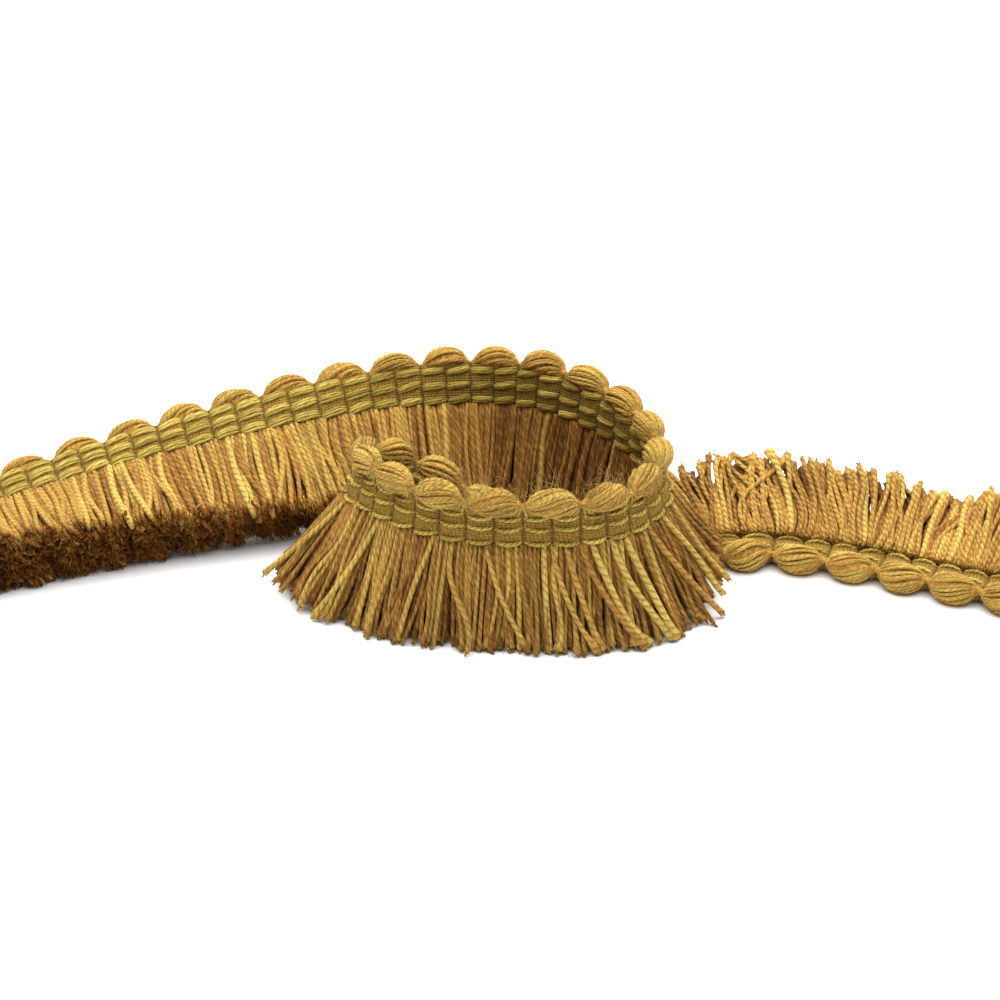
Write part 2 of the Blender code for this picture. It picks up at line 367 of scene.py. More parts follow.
def softRoughness(tree, shader, factor):
    rough = tree.nodes.new("ShaderNodeMapRange")
    rough.inputs["To Min"].default_value, rough.inputs["To Max"].default_value = fibreDraw["roughness"]
    tree.links.new(factor, rough.inputs["Value"])
    tree.links.new(rough.outputs[0], shader.inputs["Roughness"])


def reliefBump(tree, shader, height, distance):
    bump = tree.nodes.new("ShaderNodeBump")
    bump.inputs["Distance"].default_value = distance
    tree.links.new(height, bump.inputs["Height"])
    tree.links.new(bump.outputs[0], shader.inputs["Normal"])


def woolShader(material, sheen):
    material.use_nodes = True
    shader = material.node_tree.nodes["Principled BSDF"]
    shader.inputs["Sheen Weight"].default_value = sheen
    shader.inputs["Sheen Roughness"].default_value = 0.4
    shader.inputs["Sheen Tint"].default_value = (1.0, 0.82, 0.45, 1.0)
    shader.inputs["Specular IOR Level"].default_value = 0.12
    return material.node_tree, shader


def makeYarnMaterial(name, dyes, tipDye, look):
    # dyes run with each yarn's own tone; its two plies differ a little; painted shade darkens the groove
    # where they meet and a painted highlight lightens their crests
    material = bpy.data.materials.new(name)
    tree, shader = woolShader(material, look["sheen"])
    fibres = tree.nodes.new("ShaderNodeGroup")
    fibres.node_tree = fibreGroup
    fibres.inputs["Fineness"].default_value = look["fineness"]
    fibres.inputs["Ply Turns"].default_value = look["plyTurns"]
    tone = attributeNode(tree, "tone")
    tone = mathNode(tree, "MULTIPLY_ADD", fibres.outputs["Ply"], look["plyShift"], tone)
    base = dyeDrift(tree, rampNode(tree, tone, dyes), 120.0, 0.88, 1.10)
    base = shadeBy(tree, base, fibres.outputs["Fibre"], 0.32, look["dark"], 0.68, look["light"])
    # painted shade in the grooves between the plies, painted highlight on their crests
    base = shadeBy(tree, base, fibres.outputs["Crest"], 0.0, look["paintedGrooveShade"], 0.65, look["paintedCrestLight"])
    if tipDye is not None:
        base = mixColour(tree, "MIX", attributeNode(tree, "tip"), base, tipDye)
    tree.links.new(base, shader.inputs["Base Color"])
    softRoughness(tree, shader, fibres.outputs["Fibre"])
    height = mathNode(tree, "MULTIPLY", fibres.outputs["Crest"], look["plyRelief"])
    height = mathNode(tree, "MULTIPLY_ADD", fibres.outputs["Fibre"], look["fibreRelief"], height)
    reliefBump(tree, shader, height, fibreDraw["bump"])
    return material


dyes = {
    "yarn": (
        (0.0, (0.105, 0.036, 0.006)),
        (0.22, (0.27, 0.115, 0.021)),
        (0.42, (0.42, 0.215, 0.044)),
        (0.6, (0.50, 0.290, 0.058)),
        (0.78, (0.57, 0.365, 0.077)),
        (1.0, (0.60, 0.42, 0.095)),
    ),
    "thread": ((0.0, (0.22, 0.135, 0.020)), (0.5, (0.50, 0.360, 0.068)), (1.0, (0.70, 0.54, 0.125))),
    "wrap": ((0.0, (0.50, 0.29, 0.050)), (1.0, (0.70, 0.47, 0.105))),
    "weave": ((0.3, (0.22, 0.100, 0.015)), (0.5, (0.36, 0.205, 0.034)), (0.7, (0.48, 0.31, 0.052))),
    "pile": ((0.0, (0.070, 0.019, 0.002)), (0.5, (0.27, 0.085, 0.008)), (0.85, (0.47, 0.185, 0.020)),
             (1.0, (0.64, 0.43, 0.07))),
    "fuzz": ((0.0, (0.18, 0.064, 0.010)), (0.5, (0.56, 0.36, 0.07)), (1.0, (0.84, 0.62, 0.20))),
    "rust": (0.22, 0.068, 0.009),
}
# how a yarn reads close up: its fibres' fineness, turns of its plies a millimetre, and their shades, with
# painted shade in the ply grooves and a painted highlight on the crests
plyLook = {
    "fineness": 3.2,
    "plyTurns": 0.25,
    "plyShift": 0.06,
    "dark": 0.60,
    "light": 1.30,
    "paintedGrooveShade": 0.64,
    "paintedCrestLight": 1.07,
    "plyRelief": 0.7,
    "fibreRelief": 0.8,
    "sheen": 0.08,
}
fringeYarn = makeYarnMaterial("fringeYarn", dyes["yarn"], dyes["rust"], plyLook)
print("yarn materials ready")

# fringe: rows of yarns from the outside of the brush to its inside, and how they change along the trim
fringe = {
    "runs": (
        -1.5, 2.0, 5.0, 7.5, 9.5, 11.5, 13.5, 15.5, 17.5, 19.5, 21.0, 22.5, 24.5, 27.0, 29.5, 32.5, 35.5,
    ),
    "root": 10.55,
    # where the brush stands, at leans between these, its tips are levelled on the floor, by so much at most
    "levelLeans": (-23.0, 30.0),
    "floorReach": 2.5,
    "mostLevelled": 7.0,
    "tipHeights": (0.5, 1.1),
    # past this lean the outer yarns end higher by so much a degree
    "farLean": 16.0,
    "farRise": 0.22,
    # share of the brush's thickness that its outer yarns keep to
    "filled": 0.45,
    # yarns cling in clumps and curl; each wave has its height, how often it comes and where it starts
    "clumps": ((0.9, 5.3, 0.0), (0.7, 11.7, 1.0), (0.6, 2.3, 2.0)),
    "curls": ((0.6, 4.1, 0.7),),
    "waveScale": 1.2,
    # on the left the yarns end in an uneven line above the pile
    "endWaves": ((0.9, 7.9, 0.0), (0.6, 17.3, 0.0)),
    "endScatter": 0.8,
    "rootThin": 0.80,
    # place and half the brush's thickness where it leaves the heading
    "rootHalves": ((24.5, 0.75), (28.0, 1.5)),
    "outerRows": (1.0, -1.0, 0.8, -0.8),
    "innerRows": (0.55, 0.2, -0.2, -0.55),
    # yarns a scallop in each row, where the trim stands and where it lies on its scallops
    "perScallop": 13,
    "perLaidScallop": 16,
    "laidFrom": 24.5,
    "layerScatter": 0.16,
    # painted shade between the yarns: how much of its tone a layer keeps, by its distance from the middle
    # of the brush; the inner layers are darker
    "layerPaintedShade": ((0.0, 0.30), (0.55, 0.36), (0.8, 0.64), (1.0, 1.0)),
    # place and how much of its tone a yarn keeps: painted shade darkens the yarns inside the coil, where
    # they lie in shadow
    "coilPaintedShade": (
        (7.5, 1.0), (9.0, 0.54), (12.0, 0.36), (13.0, 0.36), (14.5, 0.86), (23.0, 0.90), (25.0, 1.0),
    ),
    "outerRings": 10,
    "innerRings": 7,
    # place, share of rusty yarns, share of thick pale ones, yarn thickness, wave, rusty length at the tips,
    # share of the brush's thickness that the yarns fill, and how far the tips sway along the trim
    "along": (
        (-1.5, 0.20, 0.20, 1.35, 1.2, 1.0, 1.0, 1.0),
        (5.0, 0.20, 0.16, 1.30, 1.1, 1.0, 1.0, 1.6),
        (7.0, 0.30, 0.10, 1.25, 0.7, 0.8, 1.0, 0.5),
        (8.5, 0.55, 0.09, 1.08, 1.1, 0.3, 1.0, 0.0),
        (12.0, 0.52, 0.10, 1.02, 1.2, 0.0, 1.0, 0.0),
        (15.0, 0.26, 0.12, 1.02, 0.9, 0.0, 1.0, 0.0),
        (19.0, 0.32, 0.06, 0.95, 0.9, 0.0, 1.0, 0.0),
        (21.5, 0.32, 0.06, 0.95, 0.9, 0.15, 1.0, 0.0),
        (24.0, 0.30, 0.08, 1.05, 0.6, 0.0, 1.0, 0.0),
        (27.0, 0.26, 0.02, 1.14, 1.5, 0.0, 1.3, 0.0),
        (29.5, 0.26, 0.02, 1.14, 1.5, 0.0, 1.25, 0.0),
        (30.8, 0.28, 0.02, 1.16, 1.7, 0.0, 1.25, -4.5),
        (32.3, 0.28, 0.02, 1.18, 1.8, 0.0, 1.10, -5.0),
        (33.1, 0.30, 0.02, 1.18, 1.8, 0.0, 0.60, -2.5),
        (33.6, 0.30, 0.02, 1.18, 1.7, 0.0, 0.20, -1.0),
        (34.2, 0.26, 0.02, 1.18, 1.6, 0.0, 1.40, 2.5),
        (35.5, 0.22, 0.02, 1.18, 1.6, 0.0, 2.50, 4.5),
    ),
    # single yarns that stray over the others: place, drift along the trim at the tip, lift, thickness, tone
    "strays": (
        (18.15, -11.0, 1.6, 1.2, 0.76), (17.05, -10.0, 1.8, 1.2, 0.80), (17.0, -8.6, 1.4, 1.2, 0.64),
        (16.55, -10.5, 1.5, 1.3, 0.42), (16.3, -9.5, 1.8, 1.7, 0.95), (15.9, -8.5, 1.5, 1.6, 0.97),
        (15.6, -7.0, 1.8, 1.7, 0.92), (16.75, -8.0, 1.2, 1.5, 0.60), (19.1, 5.0, 1.2, 1.2, 0.70),
        (20.3, 6.0, 1.2, 1.3, 0.88), (18.7, -5.5, 1.3, 1.2, 0.55), (21.3, 5.0, 1.4, 1.3, 0.76),
        (15.1, -6.0, 1.6, 1.5, 0.50), (14.7, -4.0, 1.8, 1.5, 0.86),
    ),
    # neighbours share a dye in groups; tone and its scatter for each kind of yarn
    "groupOften": 2.6,
    "rustyTone": (0.33, 0.07),
    "goldTone": (0.62, 0.10),
    "mixedTone": (0.46, 0.13),
    "mixedShare": 0.2,
    "paleTone": (0.82, 1.0),
    "paleThicker": 1.35,
    # the cut plies open at the ends, and beside the pile they are pressed instead
    "openedEnds": (0.15, 0.45, 0.9),
    "pressedEnd": -0.45,
    "frayFrom": 8.0,
    "frayEach": 2,
    "frayThick": 0.40,
    "frayLengths": (0.4, 1.5),
    # the opened tips are painted lighter, a painted highlight where they spread towards the light
    "frayPaintedLight": 0.1,
}


rustyShare, paleShare, yarnThick, waviness, rustyTip, fullness, tipSway = range(1, 8)


def fringeAlong(place, column):
    rows = np.array(fringe["along"])
    return np.interp(place, rows[:, 0], rows[:, column])


def spreadOut(rootHalf, tipHalf, t):
    return rootHalf + (tipHalf - rootHalf) * (0.5 * t + 0.5 * t**2)


def layYarns(place, row, rings, thick, drift, lift, longer):
    # yarns leave the heading's lower edge, spread to the brush's thickness and stop on the floor
    count = len(place)
    here = trimFrame(place)
    leanHere, reach, spread = here[:, leanPart], here[:, reachPart], here[:, spreadPart]
    t = np.linspace(0.0, 1.0, rings)[None, :]
    wave = fringeAlong(place, waviness)[:, None] * fringe["waveScale"]
    slant = (waves(place, fringe["clumps"]) + rng.normal(0.0, 0.6, count))[:, None] * wave
    slant = slant + (drift + fringeAlong(place, tipSway))[:, None]
    ripple = (waves(place, fringe["curls"]) + rng.normal(0.0, 0.5, count))[:, None] * wave
    turns = rng.uniform(0.5, 1.1, (count, 1))
    swayed = slant * t**1.3 + ripple * np.sin(2 * math.pi * t * turns) * (0.4 + 0.6 * t)
    places = place[:, None] + swayed / trim["scallop"]
    tipHalf = fringe["filled"] * spread * fringeAlong(place, fullness)
    half = spreadOut(valueAt(place, fringe["rootHalves"])[:, None], tipHalf[:, None], t)
    layer = row * (1 + rng.normal(0.0, fringe["layerScatter"], (count, 1)))
    jitter = rng.normal(0.0, 0.30, (count, 1)) * t
    bulge = (0.3 * row + lift[:, None]) * np.sin(math.pi * t * 0.8)
    outBy = trim["bandOut"] + layer * half + jitter + bulge
    uneven = waves(place, fringe["endWaves"]) * (place < fringe["frayFrom"])
    length = reach + rng.normal(0.0, fringe["endScatter"], count) + longer + uneven
    downBy = fringe["root"] + (length[:, None] - fringe["root"]) * t
    centres = trimPoint(places, downBy, outBy)
    tipHeight = here[:, 2] - reach * np.cos(np.radians(leanHere))
    low, high = fringe["levelLeans"]
    level = (leanHere > low) & (leanHere < high) & (tipHeight < fringe["floorReach"])
    drop = np.maximum(-here[:, downHeight], 0.5)
    lowest, scatter = fringe["tipHeights"]
    far = np.maximum(row, 0) * np.maximum(leanHere - fringe["farLean"], 0) * fringe["farRise"]
    wanted = lowest + rng.random(count) * scatter + far
    most = fringe["mostLevelled"]
    extra = np.clip(np.where(level, (centres[:, -1, 2] - wanted) / drop, 0.0), -most, most)
    centres = trimPoint(places, downBy + extra[:, None] * t, outBy)
    neck = fringe["rootThin"] + (1 - fringe["rootThin"]) * np.minimum(t * 6, 1.0)
    opened = rng.choice(fringe["openedEnds"], count)
    opened = np.where(place > fringe["frayFrom"], opened, fringe["pressedEnd"])
    radii = thick[:, None] / 2 * neck * (1 + opened[:, None] * np.clip((t - 0.85) / 0.15, 0, 1))
    centres[..., 2] = np.maximum(centres[..., 2], radii * 1.02)
    guide = here[:, None, outPart]
    return centres, radii, guide, t


def dyeAndShadeYarns(place, row):
    # neighbours share a dye in groups; then painted shade darkens the inside of the coil and the inner
    # layers
    groups = np.floor(place * fringe["groupOften"] + 0.4 * np.sin(place * 7.0)).astype(int)
    chances = rng.random(200)
    rusty = chances[groups % len(chances)] < fringeAlong(place, rustyShare)
    count = len(place)
    tone = np.where(rusty, rng.normal(*fringe["rustyTone"], count), rng.normal(*fringe["goldTone"], count))
    mixed = rng.random(count) < fringe["mixedShare"]
    tone = np.where(mixed, rng.normal(*fringe["mixedTone"], count), tone)
    # painted shade: the yarns inside the coil are darkened
    tone = np.clip(tone, 0.05, 0.9) * valueAt(place, fringe["coilPaintedShade"])
    # painted shade: the inner layers of the brush are darkened
    return tone * valueAt(abs(row), fringe["layerPaintedShade"])


frayed = []


def frayTips(place, centres, tone):
    # the cut plies open out a little past the yarn's end
    kept = np.repeat(np.flatnonzero(place > fringe["frayFrom"]), fringe["frayEach"])
    way = unit(centres[kept, -1] - centres[kept, -2])
    aim = unit(way + rng.normal(0.0, 0.32, way.shape))
    aim = aim * rng.uniform(*fringe["frayLengths"], (len(kept), 1))
    t = np.array([-0.3, 0.4, 1.0])[None, :, None]
    fibres = centres[kept, -1][:, None] + aim[:, None] * t
    radii = fringe["frayThick"] * (1 - 0.3 * t[..., 0])
    fibres[..., 2] = np.maximum(fibres[..., 2], radii)
    # painted highlight on the opened tips
    lighter = tone[kept, None] + fringe["frayPaintedLight"]
    frayed.append(yarnBundle(fibres, radii, trimFrame(place[kept])[:, None, alongPart], lighter))


def makeFringeRun(number, start, end):
    outer, inner = [], []
    often = fringe["perLaidScallop"] if start >= fringe["laidFrom"] else fringe["perScallop"]
    count = round((end - start) * often)
    for row in fringe["outerRows"]:
        place = start + (np.arange(count) + 0.5 + rng.normal(0.0, 0.22, count)) / often
        thick = fringeAlong(place, yarnThick) * rng.uniform(0.88, 1.14, count)
        tone = dyeAndShadeYarns(place, row)
        fat = rng.random(count) < fringeAlong(place, paleShare) * (abs(row) == 1)
        # the thick pale yarns take part of the painted shade inside the coil
        pale = rng.uniform(*fringe["paleTone"], count) * np.sqrt(valueAt(place, fringe["coilPaintedShade"]))
        tone = np.where(fat, pale, tone)
        thick = np.where(fat, thick * fringe["paleThicker"], thick)
        drift, lift = np.zeros(count), np.zeros(count)
        for stray in fringe["strays"]:
            if row == 1 and start <= stray[0] < end:
                k = np.argmin(np.abs(place - stray[0]))
                drift[k], lift[k], thick[k], tone[k] = stray[1:]
        centres, radii, guide, t = layYarns(place, row, fringe["outerRings"], thick, drift, lift, fat * 1.0)
        rusty = fringeAlong(place, rustyTip) * np.where(fat, 0.5, 1.0)
        tip = np.clip((t - 0.86) / 0.14, 0, 1) * rusty[:, None]
        outer.append(yarnBundle(centres, radii, guide, tone[:, None], tip, startTurn((count, 1))))
        frayTips(place, centres, tone)
    for row in fringe["innerRows"]:
        place = start + (np.arange(count) + 0.5 + rng.normal(0.0, 0.25, count)) / often
        thick = fringeAlong(place, yarnThick) * rng.uniform(0.95, 1.2, count)
        still = np.zeros(count)
        centres, radii, guide, t = layYarns(place, row, fringe["innerRings"], thick, still, still, still)
        tip = np.clip((t - 0.8) / 0.2, 0, 1) * fringeAlong(place, rustyTip)[:, None]
        tone = dyeAndShadeYarns(place, row)
        inner.append(yarnBundle(centres, radii, guide, tone[:, None], tip, startTurn((count, 1))))
    name = f"fringeYarns{number:02d}"
    addPiece(name, gatherTubes(name, outer, 6), fringeYarn, [f"fringe_{number:02d}"])
    name = f"innerYarns{number:02d}"
    addPiece(name, gatherTubes(name, inner, 4), fringeYarn)


for number, (start, end) in enumerate(zip(fringe["runs"], fringe["runs"][1:]), start=1):
    makeFringeRun(number, start, end)
addPiece("frayedTips", gatherTubes("frayedTips", frayed, 3), fringeYarn)
print("fringe made", sum(triangleCount))

# the cut ends that face the viewer on the left stretch: a close pile of short curled stubs
pile = {
    "start": -1.5,
    "end": 8.0,
    "count": 9000,
    "rings": 4,
    "radius": 0.175,
    "length": (1.4, 3.6),
    # share of the brush's thickness to either side that the stubs fill
    "filled": 0.48,
    # height, how often and how far it turns across the brush, for each wave of the tufts
    "tufts": ((0.5, 13.0, 2.0), (0.4, 29.0, -5.0), (0.5, 7.9, 0.0)),
    "tips": (1.0, 0.5),
    "edgeRise": 1.3,
    "tone": (0.44, 0.20),
    "paleTone": (0.80, 1.0),
    "paleShare": 0.03,
}


def makePile():
    count = pile["count"]
    place = pile["start"] + (pile["end"] - pile["start"]) * rng.random(count) ** 1.1
    here = trimFrame(place)
    t = np.linspace(0.0, 1.0, pile["rings"])[None, :]
    across = rng.uniform(-1.0, 1.0, count)
    side = trim["bandOut"] + across * pile["filled"] * here[:, spreadPart]
    length = rng.uniform(*pile["length"], count)
    tuft = waves(place, pile["tufts"], across)
    tipDown = here[:, reachPart] + tuft + rng.normal(*pile["tips"], count)
    tipDown = tipDown - pile["edgeRise"] * np.abs(across)**3
    bend = rng.normal(0.0, 0.9, (count, 2, 1)) * t[:, None]**2
    bend = bend + rng.normal(0.0, 0.35, (count, 2, 1)) * np.sin(2 * math.pi * t)[:, None]
    places = place[:, None] + bend[:, 0] / trim["scallop"]
    centres = trimPoint(places, tipDown[:, None] - length[:, None] * (1 - t), side[:, None] + bend[:, 1])
    radii = pile["radius"] * rng.uniform(0.7, 1.25, (count, 1)) * (1 - 0.45 * t)
    centres[..., 2] = np.maximum(centres[..., 2], radii)
    pale = rng.random(count) < pile["paleShare"]
    tone = np.where(pale, rng.uniform(*pile["paleTone"], count), rng.normal(*pile["tone"], count))
    # painted highlight: the side that faces up and the tufts that stand out are lighter and rustier, and
    # painted shade leaves the hollows darker
    tone = np.clip(tone + 0.05 - 0.18 * across + 0.20 * tuft, 0.0, 1.0)
    cutEnds = makeYarnMaterial("cutEndPile", dyes["pile"], None,
                               {**plyLook, "paintedGrooveShade": 0.85, "plyShift": 0.0, "sheen": 0.03})
    bundle = yarnBundle(centres, radii, here[:, None, outPart], tone[:, None])
    addPiece("cutEndPile", gatherTubes("cutEndPile", [bundle], 3), cutEnds)


makePile()
print("pile made", sum(triangleCount))

# heading: the woven band, ribbed across, swelling in each cell between its stitched grooves
heading = {
    "cell": 0.5,
    "ribs": 7,
    "ringsPerRib": 3,
    "sides": 24,
    "half": 0.48,
    "bulge": 0.76,
    "rib": 0.09,
    # the tube's round section is pressed to a flat strip: how far across and through
    "pressed": (1.12, 2.2),
    "rowDip": 0.22,
    "rowWidth": 0.7,
    "rows": (4.0, 6.6, 10.0),
    "topPull": 1.3,
    "pullLength": 2.6,
    # place and how far the band sinks behind the scallops that lie on the floor
    "sinks": ((25.0, 0.0), (28.5, 0.8)),
    # place and painted shade of the back face: it is painted darker inside the coil, where it lies in
    # shadow
    "backPaintedShade": ((6.5, 1.0), (9.0, 0.62), (13.5, 0.62), (15.0, 0.9)),
    "ribLean": 0.22,
    "weftOften": 5.2,
    "bump": 0.0004,
}


def cellArch(share):
    return np.sin(math.pi * np.clip(share, 0.0, 1.0))**0.6


def bandMiddle(place, downBy):
    # the necks draw the band's top edge in towards the scallops' own line
    neckShare = 0.55 + 0.45 * np.cos(math.pi * (place - 0.5))**2
    pull = heading["topPull"] * np.exp(-((downBy - trim["bandTop"]) / heading["pullLength"])**2)
    return trim["bandOut"] + pull * neckShare - valueAt(place, heading["sinks"])


def threadWave(tree, place, often):
    return mathNode(tree, "ABSOLUTE", mathNode(tree, "SINE", mathNode(tree, "MULTIPLY", place, often)))


def makeWeaveMaterial():
    # ribs that lean a little across the band, crossed by the weft
    material = bpy.data.materials.new("headingWeave")
    tree, shader = woolShader(material, plyLook["sheen"])
    space = attributeNode(tree, "weave", "Vector")
    parts = splitVector(tree, space)
    leant = mathNode(tree, "MULTIPLY_ADD", parts[1], heading["ribLean"], parts[0])
    ribWave = threadWave(tree, leant, math.pi)
    weftWave = threadWave(tree, parts[1], heading["weftOften"])
    fibre = noiseNode(tree, space, 1.7, 5.0, 0.7)
    weft = mathNode(tree, "MULTIPLY", ribWave, mathNode(tree, "POWER", weftWave, 0.4))
    # painted shade in the furrows between the ribs and weft threads
    base = shadeBy(tree, rampNode(tree, fibre, dyes["weave"]), weft, 0.0, 0.60, 0.6, 1.05)
    # painted shade in the stitched grooves between the cells
    base = shadeBy(tree, base, attributeNode(tree, "paintedGrooveShade"), 0.1, 0.50, 0.55, 1.0)
    # painted shade: the back face is darkened inside the coil
    base = shadeBy(tree, base, attributeNode(tree, "shade"), 0.0, 0.0, 1.0, 1.0)
    tree.links.new(base, shader.inputs["Base Color"])
    softRoughness(tree, shader, fibre)
    reliefBump(tree, shader, mathNode(tree, "MULTIPLY_ADD", ribWave, weftWave, fibre), heading["bump"])
    return material


def makeHeading():
    cells = round((trim["end"] - trim["start"]) / heading["cell"])
    rings = cells * heading["ribs"] * heading["ringsPerRib"] + 1
    mesh = straightTube("wovenHeading", heading["sides"], rings, 1)
    template = meshPoints(mesh)
    place = trim["start"] + template[:, 2] / (rings - 1) * (trim["end"] - trim["start"])
    turn = np.arctan2(template[:, 1], template[:, 0])
    across, face = (np.clip(part * press, -1, 1)
                    for part, press in zip((np.cos(turn), np.sin(turn)), heading["pressed"]))
    inCell = (place / heading["cell"]) % 1.0
    rib = heading["rib"] * np.abs(np.sin(math.pi * inCell * heading["ribs"]))
    middleDown = (trim["bandTop"] + trim["bandBottom"]) / 2
    halfWidth = (trim["bandBottom"] - trim["bandTop"]) / 2
    downBy = middleDown + across * halfWidth
    dip = sum(np.exp(-((downBy - row) / heading["rowWidth"])**2) for row in heading["rows"])
    dip = dip * heading["rowDip"]
    thickness = (heading["half"] + (heading["bulge"] - dip) * cellArch(inCell) + rib) * face
    points = trimPoint(place, downBy, bandMiddle(place, downBy) + thickness)
    points[:, 2] = np.maximum(points[:, 2], 0.05)
    shapeMesh(mesh, points)
    weave = np.stack([place / heading["cell"] * heading["ribs"], across * halfWidth, face], axis=1)
    storeVector(mesh, "weave", weave)
    # the cells' arch, which drives the painted shade in the grooves
    storeValue(mesh, "paintedGrooveShade", cellArch(inCell))
    # painted shade for the back face inside the coil
    storeValue(mesh, "shade", np.where(face < 0, valueAt(place, heading["backPaintedShade"]), 1.0))
    piece = addPiece("wovenHeading", mesh, makeWeaveMaterial(), ["heading_band"])


makeHeading()
print("heading made", sum(triangleCount))

# scalloped edge: strands of gimp that swell into ovals between the stitched necks
scallopEdge = {
    "first": -1,
    "last": 35,
    "radius": 3.6,
    # place and size: the scallops spread where the trim lies on them
    "sizes": ((13.0, 0.98), (15.5, 0.89), (22.5, 0.89), (24.5, 1.0), (29.0, 1.08)),
    "neck": 0.15,
    "neckDrop": 0.9,
    "halfOval": 0.435,
    "ovalPower": 0.56,
    "strands": 27,
    "rings": 13,
    "strandThick": 1.02,
    "slant": 1.5,
    "slantScatter": (0.5, 1.3),
    "sizeScatter": (0.95, 1.05),
    "tone": (0.66, 0.13),
    "toneScatter": 0.05,
    # the heading's top edge sits this far behind, so strands stay clear of it
    "headingBehind": -3.5,
    # how far the filling stays under the strands
    "fillingInset": 0.55,
    # the filling's darker tone is painted shade between the strands
    "fillingShadeTone": 0.42,
    "wrapTurns": 4.0,
    "wrapRadius": 0.62,
    "wrapThick": 0.56,
    "wrapWidth": 0.13,
    "wrapRings": 28,
    # threads from each neck down to the heading: how far along they lean, where they start and how long
    "threadLeans": (-0.22, -0.07, 0.09, 0.23),
    "threadFrom": 0.9,
    "threadLength": 2.6,
    "threadRings": 7,
}


def scallopOval(offset):
    return np.maximum(0.0, 1 - (offset / scallopEdge["halfOval"])**2)**scallopEdge["ovalPower"]


def scallopProfile(offset):
    return scallopEdge["neck"] + (1 - scallopEdge["neck"]) * scallopOval(offset)


def aroundScallop(place, turn, radius):
    # the necks are drawn down to the heading
    drop = scallopEdge["neckDrop"] * (1 - scallopOval(place - np.rint(place)))
    downBy, outBy = radius * np.cos(turn) + drop, radius * np.sin(turn)
    limit = scallopEdge["headingBehind"] + np.clip(downBy, 0.0, 1.8) * 1.6
    return trimPoint(place, downBy, np.maximum(outBy, limit))


def makeStrands(numbers, gimp):
    strands, count = scallopEdge["strands"], len(numbers)
    total = strands * count
    offset = 0.5 * np.sin(np.linspace(-0.5, 0.5, scallopEdge["rings"]) * math.pi)[None, :]
    belly = np.cos(math.pi * offset)

    def eachStrand(values):
        return np.repeat(values, strands)[:, None]

    turn = np.tile(np.arange(strands), count)[:, None] * 2 * math.pi / strands
    turn = turn + rng.normal(0, 0.10, (total, 1))
    turn = turn + eachStrand(rng.uniform(0, 1, count)) + rng.normal(0.0, 0.14, (total, 1)) * belly
    slants = scallopEdge["slant"] * rng.uniform(*scallopEdge["slantScatter"], count)
    turn = turn - eachStrand(slants) * offset
    swell = scallopProfile(offset) * np.ones((total, 1))
    sizes = rng.uniform(*scallopEdge["sizeScatter"], count) * valueAt(numbers, scallopEdge["sizes"])
    radius = (scallopEdge["radius"] - scallopEdge["strandThick"] * 0.42) * swell * eachStrand(sizes)
    radius = radius + rng.normal(0.0, 0.10, (total, 1)) * belly
    places = eachStrand(numbers) + offset * 0.99
    centres = aroundScallop(places, turn, radius)
    radii = scallopEdge["strandThick"] / 2 * (0.3 + 0.7 * swell) * rng.uniform(0.85, 1.15, (total, 1))
    centres[..., 2] = np.maximum(centres[..., 2], radii)
    here = trimFrame(places)
    guide = here[..., downPart] * np.cos(turn)[..., None] + here[..., outPart] * np.sin(turn)[..., None]
    tone = rng.normal(*scallopEdge["tone"], (total, 1))
    tone = np.clip(tone + eachStrand(rng.normal(0, scallopEdge["toneScatter"], count)), 0.1, 0.95)
    bundle = yarnBundle(centres, radii, guide, tone, 0.0, startTurn((total, 1)))
    mesh = gatherTubes("scallopStrands", [bundle], 4)
    addPiece("scallopStrands", mesh, gimp, ["scallop_edge"])


def makeFilling(numbers, gimp):
    # its darker tone is painted shade between the strands
    offset = np.linspace(numbers[0] - 0.5, numbers[-1] + 0.5, len(numbers) * 8 + 1)[None, :]
    swell = scallopProfile(offset - np.rint(offset))
    core = aroundScallop(offset, np.zeros(offset.shape), np.zeros(offset.shape))
    inside = scallopEdge["radius"] - scallopEdge["fillingInset"]
    swell = swell * valueAt(offset, scallopEdge["sizes"]) * inside
    filling = yarnBundle(core, swell, trimFrame(offset)[..., outPart], scallopEdge["fillingShadeTone"])
    addPiece("scallopFilling", gatherTubes("scallopFilling", [filling], 8), gimp)


